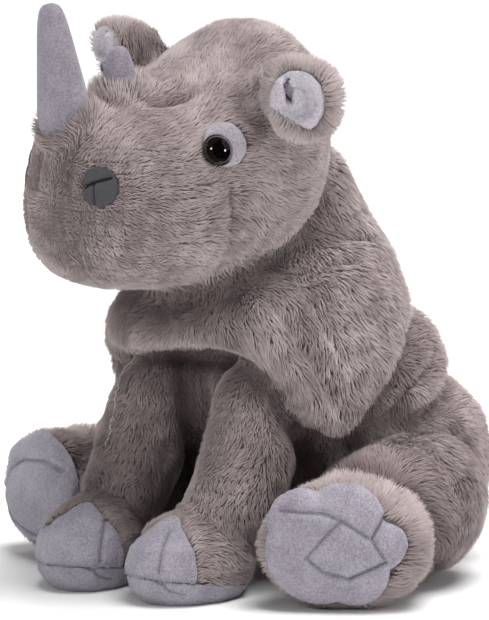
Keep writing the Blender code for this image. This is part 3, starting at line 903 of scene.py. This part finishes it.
# %% Build the tufts
def triangle_mesh(name, points, triangles, finish):
    mesh = bpy.data.meshes.new(name)
    mesh.vertices.add(len(points))
    mesh.loops.add(triangles.size)
    mesh.polygons.add(len(triangles))
    write(mesh.vertices, "co", points)
    write(mesh.loops, "vertex_index", triangles, np.int32)
    write(mesh.polygons, "loop_start", np.arange(0, triangles.size, 3), np.int32)
    mesh.update(calc_edges=True)
    shade_smooth(mesh)
    mesh.materials.append(finish)
    return mesh


def tuft_piece(name, chosen):
    """The chosen tufts in one mesh, each with a point at its root, three at the knee and one at the tip."""
    count = len(chosen)
    up, lying = root_up[chosen], root_lie[chosen]
    cross = np.cross(up, lying)
    half = (width[chosen] * MM / 2)[:, None]
    facing = unit(up * 0.9 - lying * 0.5)
    middle = knee[chosen]
    ring = [middle - cross * half, middle + cross * half, middle + facing * half * 0.8]
    points = np.stack([start[chosen], *ring, tip[chosen]], 1).reshape(-1, 3)
    tilts = np.stack([-lying, -cross, cross, facing, facing], 1)
    shine = unit(up[:, None] * SOFTNESS + tilts * (1 - SOFTNESS)).reshape(-1, 3)
    pattern = np.array([(0, 2, 1), (0, 3, 2), (0, 1, 3), (1, 2, 4), (2, 3, 4), (3, 1, 4)])
    triangles = (pattern[None] + 5 * np.arange(count)[:, None, None]).reshape(-1, 3)
    mesh = triangle_mesh(name, points, triangles, coat_finish)
    mark(mesh, "along", np.tile([0, 0.5, 0.5, 0.5, 1.0], count))
    mark(mesh, "tone", np.repeat(tone_of[chosen], 5))
    patch = np.array([(0, -1), (-1, 0), (1, 0), (0, 0.2), (0, 1)]) * PATCH / 2
    spots = (root_uv[chosen][:, None, :] + patch[None]).reshape(-1, 2)[triangles.ravel()]
    write(mesh.uv_layers.new(name="OFBake").data, "uv", spots)
    mesh.normals_split_custom_set_from_vertices(shine)
    made = placed(name, mesh)
    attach(made, "root")
    print(name, len(triangles), "triangles")


PATCH = 0.003  # a tuft's size in the skin's unwrapping
SOFTNESS = 0.6  # how far a tuft is shaded as the skin under it is
# How much paler or darker the pile is painted: painted light and shade on each piece, for how light falls on
# it and the sheen of its pile by the way it lies; painted light on rims, and painted shade on the thighs, on
# the muzzle and in creases.
PAINTED_LIGHT_BY_PIECE = {"front_leg": -0.14, "trunk": -0.2, "head": 0.04, "hind_leg": -0.12, "shoulders": -0.04}
PAINTED_MUZZLE_SHADE, PAINTED_RIM_LIGHT, PAINTED_THIGH_SHADE, SHADE_AND_SEAM_DARK = 0.12, 0.18, 0.5, 0.7
TONE, LOCK_TONE = 0.56, 0.08  # from 0, dark, to 1, and how much whole locks differ
THIGH = (44, 8)  # from how far off the hind sole, and over how much
on_thigh = ramp(sole_off, *THIGH) * (owner_kind == "hind_leg")[:, None]
tone_of = TONE + LOCK_TONE * lock_shade + wavering(((0.2, 34, 8), (0.18, 11, 9)), 0.1)
# Painted shade in creases and on the muzzle, painted light and shade by piece, painted light on rims and
# painted shade on the thighs.
tone_of = tone_of - SHADE_AND_SEAM_DARK * root_shade_and_seam_tone - PAINTED_MUZZLE_SHADE * on_muzzle
tone_of = tone_of + np.array([PAINTED_LIGHT_BY_PIECE.get(kind, 0.0) for kind in root_kind])
tone_of = tone_of + at_roots(PAINTED_RIM_LIGHT * near_rim - PAINTED_THIGH_SHADE * on_thigh)[:, 0]
MOST = 30000  # tufts in one piece
for kind in TUFTS:
    mine = np.flatnonzero(root_kind == kind)
    mine = mine[np.argsort(root[mine, 0], kind="stable")]
    for number, chosen in enumerate(np.array_split(mine, int(np.ceil(len(mine) / MOST))), 1):
        tuft_piece(f"coat_{kind}_{number}", chosen)

# %% [markdown]
# ## Smooth panels
# The horns, toe caps, soles, ear linings and eye patches are a lavender fabric with a nap under a
# millimetre long. Each is a stuffed panel: a copy of its solid, remeshed finely and smoothed until it is
# a soft pillow, and where it says so drawn in a little so that the pile stands round it.

# %% A stuffed panel
GROOVE_SHADE = 0.45  # how wide the dark line in a groove is, as a share of the groove


class Panel:
    """A soft piece made from a copy of a solid, ready to be pressed and stitched."""

    def __init__(self, name, node, finish, voxel=0.8, rounds=8, inset=0.0, slot="lavender_minky"):
        self.node, self.slot = node, slot
        self.piece = remeshed(copy_of(name, [node]), voxel)
        mesh = self.piece.data
        self.move(Net(mesh).smoothed(points_of(mesh), rounds))
        self.move(self.points - self.normals * inset * MM)
        self.shade = np.zeros(len(self.points))
        mesh.materials.clear()
        mesh.materials.append(finish)
        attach(self.piece, "root")
        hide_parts(node)

    def move(self, points):
        self.points = points
        set_points(self.piece.data, points)
        self.normals = unit(normals_of(self.piece.data))

    def sink(self, depth):
        """Moves each point inwards by its own depth in mm."""
        self.move(self.points - self.normals * depth[:, None] * MM)

    def flat(self):
        return on_pad(self.points, self.node)

    def press(self, line, width, depth, dark, spots=None):
        """Presses a groove along a line in mm across and up the pad, or among other spots."""
        front = 1.0
        if spots is None:
            spots = self.flat()
            front = spots[:, 2] > spots[:, 2].min() / 2
            spots = spots[:, :2]
        else:
            line = over_surface(line, spots, 2)
        off = distance_to_line(spots, line)
        self.sink(depth * hollow(off, width) * front)
        groove = np.minimum(dark * hollow(off, GROOVE_SHADE * width), 1)
        self.shade = np.maximum(self.shade, groove * front)

    def finished(self):
        shade_smooth(self.piece.data)
        mark(self.piece.data, "shade", self.shade)
        print(self.piece.name, len(self.piece.data.polygons), "faces")


# %% Rows of stitches
def spindles(name, begins, ends, half, finish):
    """Slim closed spindles from each beginning to its end, joined in one piece."""
    count, sides = len(begins), 5
    along = unit(ends - begins)
    helper = np.where(np.abs(along[:, 2:]) > 0.9, [[1.0, 0, 0]], [[0, 0, 1.0]])
    first = unit(np.cross(along, helper))
    second = np.cross(along, first)
    turns = np.arange(sides) * 2 * pi / sides
    ring = first[:, None] * np.cos(turns)[:, None] + second[:, None] * np.sin(turns)[:, None]
    middle = ((begins + ends) / 2)[:, None] + ring * half
    points = np.concatenate([begins[:, None], middle, ends[:, None]], 1).reshape(-1, 3)
    around = [(k + 1, (k + 1) % sides + 1) for k in range(sides)]
    pattern = np.array([(0, b, a) for a, b in around] + [(a, b, sides + 1) for a, b in around])
    faces = (pattern[None] + (sides + 2) * np.arange(count)[:, None, None]).reshape(-1, 3)
    made = placed(name, triangle_mesh(name, points, faces, finish))
    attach(made, "root")
    print(name, count, "stitches")


def spread_along(line, pitch):
    """Points every so often along a line of straight stretches."""
    line = np.array(line, float)
    lengths = np.linalg.norm(np.diff(line, axis=0), axis=1)
    marks = np.concatenate([[0], np.cumsum(lengths)])
    places = np.arange(pitch / 2, marks[-1], pitch)
    return np.stack([np.interp(places, marks, column) for column in line.T], 1)


def snapped(spots, points, faces):
    """The nearest places on a surface, and which way is up there."""
    tree = BVHTree.FromPolygons([Vector(point) for point in points], faces)
    found = [tree.find_nearest(Vector(spot))[:2] for spot in spots]
    return (np.array(column) for column in zip(*found))


def thread_like(name, scale, dark, pale):
    thread = Finish(name, roughness=0.9, sheen_weight=0.3)
    return thread.wear(base_color=thread.mix(thread.noise(scale), dark, pale))


thread_finish = thread_like("lavender_thread", 800, (0.26, 0.235, 0.28), (0.5, 0.47, 0.52))
backing_finish = thread_like("pale_backing", 700, (0.42, 0.36, 0.33), (0.72, 0.65, 0.6))
STITCH_PITCH, STITCH_LONG, STITCH_HALF = 1.4, 1.5, 0.24
SKEW, LONGER, STANDING = 0.35, (0.7, 1.25), (0.05, 0.3)  # how stitches vary


def stitched(panel, name, lines, bold=1.0):
    """Puckered stitches across each line; lines are rows of points in metres near the panel."""
    faces = [list(face.vertices) for face in panel.piece.data.polygons]
    begins, ends = [], []
    for line in lines:
        spots = spread_along(np.array(line) / MM, STITCH_PITCH) * MM
        spots, ups = snapped(spots, panel.points, faces)
        run = unit(np.gradient(spots, axis=0))
        over = unit(np.cross(run, ups) + run * rng.normal(0, SKEW, (len(spots), 1)))
        reach = bold * STITCH_LONG / 2 * MM * rng.uniform(*LONGER, (len(spots), 1))
        lift = ups * bold * rng.uniform(*STANDING, (len(spots), 1)) * MM
        begins.append(spots - over * reach + lift)
        ends.append(spots + over * reach + lift)
    begins, ends = np.concatenate(begins), np.concatenate(ends)
    spindles(name, begins, ends, bold * STITCH_HALF * MM, thread_finish)


# %% The frayed seam of the right front leg
LEG_SEAM = ((-47, -50, 108), (-46, -62.5, 85), (-43, -73, 62))
SEAM_LIFT, SEAM_FRAY = 4.3, 0.3  # how high over the backing it shows, and how ragged it is, in mm
spots, ups = snapped(spread_along(LEG_SEAM, 1.0) * MM, surface, corners.tolist())
spots = spots + ups * SEAM_LIFT * MM + rng.normal(0, SEAM_FRAY * MM, spots.shape)
ways = unit(np.gradient(spots, axis=0))
ways = unit(ways + rng.normal(0, SEAM_FRAY, ways.shape)) * rng.uniform(0.7, 1.6, (len(spots), 1)) * MM
spindles("leg_seam_right", spots - ways, spots + ways, 0.36 * MM, backing_finish)

# %% [markdown]
# Each front foot has a toe cap with a seam down its front, sewn to the sole with a puckered seam. The
# cap ends at the back in a small peak, where it sinks under the pile.

# %% Toe caps and front soles
CAP_SEAM = {
    "left": ((8, -21, 20), (11, -30, 10), (12, -33, 0)),
    "right": ((15, -17, 19), (17, -26, 9), (17, -29, -2)),
}
SOLE_SEAM = ((12, -33, -1), (16, -30, -8), (22, -22, -14))
CAP_SINK, CAP_SOFT = 5.5, 1.6  # how deep the hidden part goes, and over what distance, in mm
CHEEK, CHEEK_DEPTH, CHEEK_WIDTH = (-11, -19, 17), 3.6, 8  # the dip beside the peak
TOE_WIDE, TOE_LONG, TOE_ROW = 26.5, 36.5, np.radians(np.arange(-62, 63, 4))  # the row of stitches
for side in SIDES:
    cap = Panel(f"toe_cap_panel_{side}", f"toe_cap_{side}", nap_finish, rounds=5)
    cheek_off = np.linalg.norm(in_foot(cap.points, side) - CHEEK, axis=1)
    cap.sink(CHEEK_DEPTH * hollow(cheek_off, CHEEK_WIDTH))
    cap.press(CAP_SEAM[side], 1.3, 1.7, 0.45, in_foot(cap.points, side))
    cap.sink(CAP_SINK * ramp(past_cap(cap.points, side), 0, CAP_SOFT))
    cap.finished()
    sole = Panel(f"front_sole_panel_{side}", f"front_sole_{side}", nap_finish, rounds=5)
    sole.press(SOLE_SEAM, 1.2, 1.2, 0.45, in_foot(sole.points, side))
    sole.finished()
    lowest = in_foot(cap.points, side)[:, 2].min()
    turned = FOOT_TURN[side]
    x, y = TOE_WIDE * np.sin(TOE_ROW), -TOE_LONG * np.cos(TOE_ROW)
    row = x * cos(turned) - y * sin(turned), x * sin(turned) + y * cos(turned), 0 * x + lowest + 0.5
    stitched(cap, f"toe_stitches_{side}", [foot_middle(side) + np.stack(row, 1) * MM], bold=1.7)

# %% [markdown]
# On the left hind sole five lobes make the outline, as of a pad with toes, and sewn lines cross it round
# a diamond in the middle. The right one is rounder and fuller, and its two sewn lines follow its edge.

# %% Hind soles
# Each lobe is a circle on the sole: millimetres across and up, and a radius.
SOLE_LOBES = {
    "left": ((-8, -2, 26.5), (-17, 10, 17), (3, 9.5, 20.5), (22, 0.5, 11.5), (8, -12, 17)),
    "right": ((-7, 0, 27.5), (6, 0, 27), (0, 2, 28)),
}
TOP = (2.4, 12.8)
DIAMOND = (TOP, (16.6, 3.8), (23.7, -7.1), (6.2, -15.1), (-6, -12.3), (-14.2, -5.7), (-6.2, 3.8), TOP)
ACROSS, SHORT = ((-27, 16.5), (-6, 16), TOP), ((22, 14), (16.6, 4))
ARCS = (
    ((31, -5), (23, 8), (8, 15), (-12, 17), (-26, 14)),
    ((30, -10), (20, -19), (4, -23), (-12, -23)),
)
SOLE_GROOVES = {"left": (ACROSS + DIAMOND[1:] + (DIAMOND[1], SHORT[0]),), "right": ARCS}
# Each sewn line, and how dark its groove is.
SOLE_LINES = {
    "left": ((DIAMOND[:3], 0.3), (DIAMOND[2:4], 0.75), (DIAMOND[3:], 0.3), (SHORT, 0.75), (ACROSS, 0.2)),
    "right": ((ARCS[0], 0.3), (ARCS[1], 0.6)),
}
SOLE_STITCHES = {"left": (DIAMOND[:3], DIAMOND[3:], ACROSS), "right": ARCS}
SECTORS, PILLOW = 90, 2.2  # steps round the outline, and how far the middle puffs out in mm
OVER_SOLE = 6  # stitches are laid out this far over it, in mm, and come down to it


def lobed_radius(angles, lobes):
    """How far the outline of the lobes reaches in each direction from the middle."""
    reach = np.zeros_like(angles)
    for x, y, radius in lobes:
        along = x * np.cos(angles) + y * np.sin(angles)
        off = x * x + y * y - along**2
        reach = np.maximum(reach, along + np.sqrt(np.maximum(radius**2 - off, 0)))
    return reach


for side in SIDES:
    node = f"hind_sole_{side}"
    sole = Panel(f"hind_sole_panel_{side}", node, nap_finish, inset=0.2)
    across, up, out = sole.flat().T
    angles, radii = np.arctan2(up, across), np.hypot(across, up)
    sector = ((angles + pi) / (2 * pi) * SECTORS).astype(int) % SECTORS
    now = np.zeros(SECTORS)
    np.maximum.at(now, sector, radii)
    centres = (np.arange(SECTORS) + 0.5) / SECTORS * 2 * pi - pi
    shape = np.interp(angles, centres, lobed_radius(centres, SOLE_LOBES[side]) / now, period=2 * pi)
    share = radii / (now[sector] + 1e-6)
    puffed = out + PILLOW * (1 - share**2) * (out > 0)
    middle, directions = pad_frame(node)
    sole.move(middle + np.stack([across * shape, up * shape, puffed], 1) @ directions * MM)
    for path in SOLE_GROOVES[side]:
        sole.press(path, 1.5, 1.7, 0)
    for line, dark in SOLE_LINES[side]:
        sole.press(line, 1.5, 0, dark)
    sole.finished()
    rows = [np.insert(line, 2, OVER_SOLE, axis=1) @ directions * MM for line in SOLE_STITCHES[side]]
    stitched(sole, f"sole_stitches_{side}", [middle + row for row in rows])

# %% [markdown]
# Each ear is lined with a small dish of lavender fabric, gathered by one deep fold. The pile covers
# its lower inner corner.

# %% Ear linings
EAR_FOLD, EAR_LIP = ((-4.6, 11), (-4, 6), (-3.6, 0)), ((-6.6, 8), (-6.2, 0))
DISH_MIDDLE, DISH_DEPTH, DISH_WIDTH = 2, 2.6, 8
LINING_SINK, LINING_SOFT = 5, 1.5  # as for the toe caps
for side in SIDES:
    lining = Panel(f"ear_lining_panel_{side}", f"ear_lining_{side}", pale_finish, 0.7, inset=0.3)
    across, up, out = lining.flat().T
    lining.sink(DISH_DEPTH * hollow(np.hypot(across - DISH_MIDDLE, up), DISH_WIDTH) * (out > 0))
    lining.press(EAR_LIP, 2.2, -1.6, 0)
    lining.press(EAR_FOLD, 1.2, 4.4, 6)
    lining.sink(LINING_SINK * ramp(past_lining(lining.points, side), 0, LINING_SOFT))
    lining.move(lifted(lining.points, side))
    lining.finished()

# %% Eye patches
for side in SIDES:
    Panel(f"eye_patch_panel_{side}", f"eye_patch_{side}", patch_finish, 0.6, inset=0.4).finished()

# %% Horns, plumply stuffed
PLUMP = {"front": 1.13, "rear": 1.05}  # how much wider than its solid
for which, wider in PLUMP.items():
    horn = Panel(f"horn_{which}_cover", f"horn_{which}", dusky_finish, 0.9, 12)
    height = horn.points[:, 2]
    slope, foot = np.polyfit(height, horn.points[:, :2], 1)
    axis = np.outer(height, slope) + foot
    horn.points[:, :2] = axis + (horn.points[:, :2] - axis) * wider
    horn.move(horn.points)
    horn.finished()

# %% [markdown]
# The nostrils are round pieces of charcoal felt. A slit runs across each, with a short seam below it.

# %% Nostrils
felt = Finish("charcoal_felt", roughness=0.95, sheen_weight=0.2)
fuzz = felt.noise(2500, 3)
felt_colour = felt.mix(fuzz, (0.035, 0.036, 0.04), (0.11, 0.112, 0.12))
felt_colour = felt.mix(felt.reading("shade"), felt_colour, (0.004, 0.004, 0.005))
felt_finish = felt.wear(base_color=felt_colour, normal=felt.bump(fuzz, 0.4 * MM))
NOSTRIL_SLIT, NOSTRIL_SEAM = ((-10, -1.5), (-4, 2), (5, 4.5)), ((-3.2, 1), (-2.4, -8.5))
NOSTRIL_IN = 2.0  # how deep it lies in the pile, in mm
for side in SIDES:
    nostril = Panel(f"nostril_felt_{side}", f"nostril_{side}", felt_finish, 0.5, 6, 0.5, "charcoal_felt")
    nostril.move(nostril.points - pad_frame(f"nostril_{side}")[1][2] * NOSTRIL_IN * MM)
    nostril.press(NOSTRIL_SLIT, 1.2, 2.6, 1.0)
    nostril.press(NOSTRIL_SEAM, 0.8, 1.2, 0.6)
    nostril.finished()

# %% [markdown]
# The eyes are glossy plastic domes with a dark brown ring round a black pupil. Each sits on its patch.

# %% Eyes
glass = Finish("dark_brown_plastic", roughness=0.05, coat_weight=1.0, coat_roughness=0.02)
off_axis = glass.reading("off_axis")
iris = glass.mix(off_axis.between(5.9, 7.0), (0.012, 0.006, 0.005), (0.005, 0.004, 0.004))
eye_finish = glass.wear(base_color=glass.mix(off_axis.between(4.4, 5.0), (0.002, 0.002, 0.002), iris))
EYE_RADIUS, EYE_FLATNESS, EYE_BACK = 7.2, 0.86, -2  # in mm, and how far back its flat back lies
for side in SIDES:
    only()
    bpy.ops.mesh.primitive_uv_sphere_add(segments=56, ring_count=32, radius=EYE_RADIUS * MM)
    eye = bpy.context.object
    eye.name = f"eye_dome_{side}"
    bpy.ops.object.shade_smooth()
    points = points_of(eye.data)
    points[:, 2] = np.where(points[:, 2] < EYE_BACK * MM, EYE_BACK * MM, points[:, 2] * EYE_FLATNESS)
    mark(eye.data, "off_axis", np.hypot(points[:, 0], points[:, 1]) / MM)
    set_points(eye.data, points)
    facing = Vector(pad_frame(f"eye_patch_{side}")[1][2]).to_track_quat("Z", "Y")
    eye.matrix_world = Matrix.Translation(middle_of(f"eye_{side}")) @ facing.to_matrix().to_4x4()
    bpy.ops.object.transform_apply(location=True, rotation=True, scale=True)
    eye.data.materials.append(eye_finish)
    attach(eye, "root")
    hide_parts(f"eye_{side}")
    print(eye.name, len(eye.data.polygons), "faces")
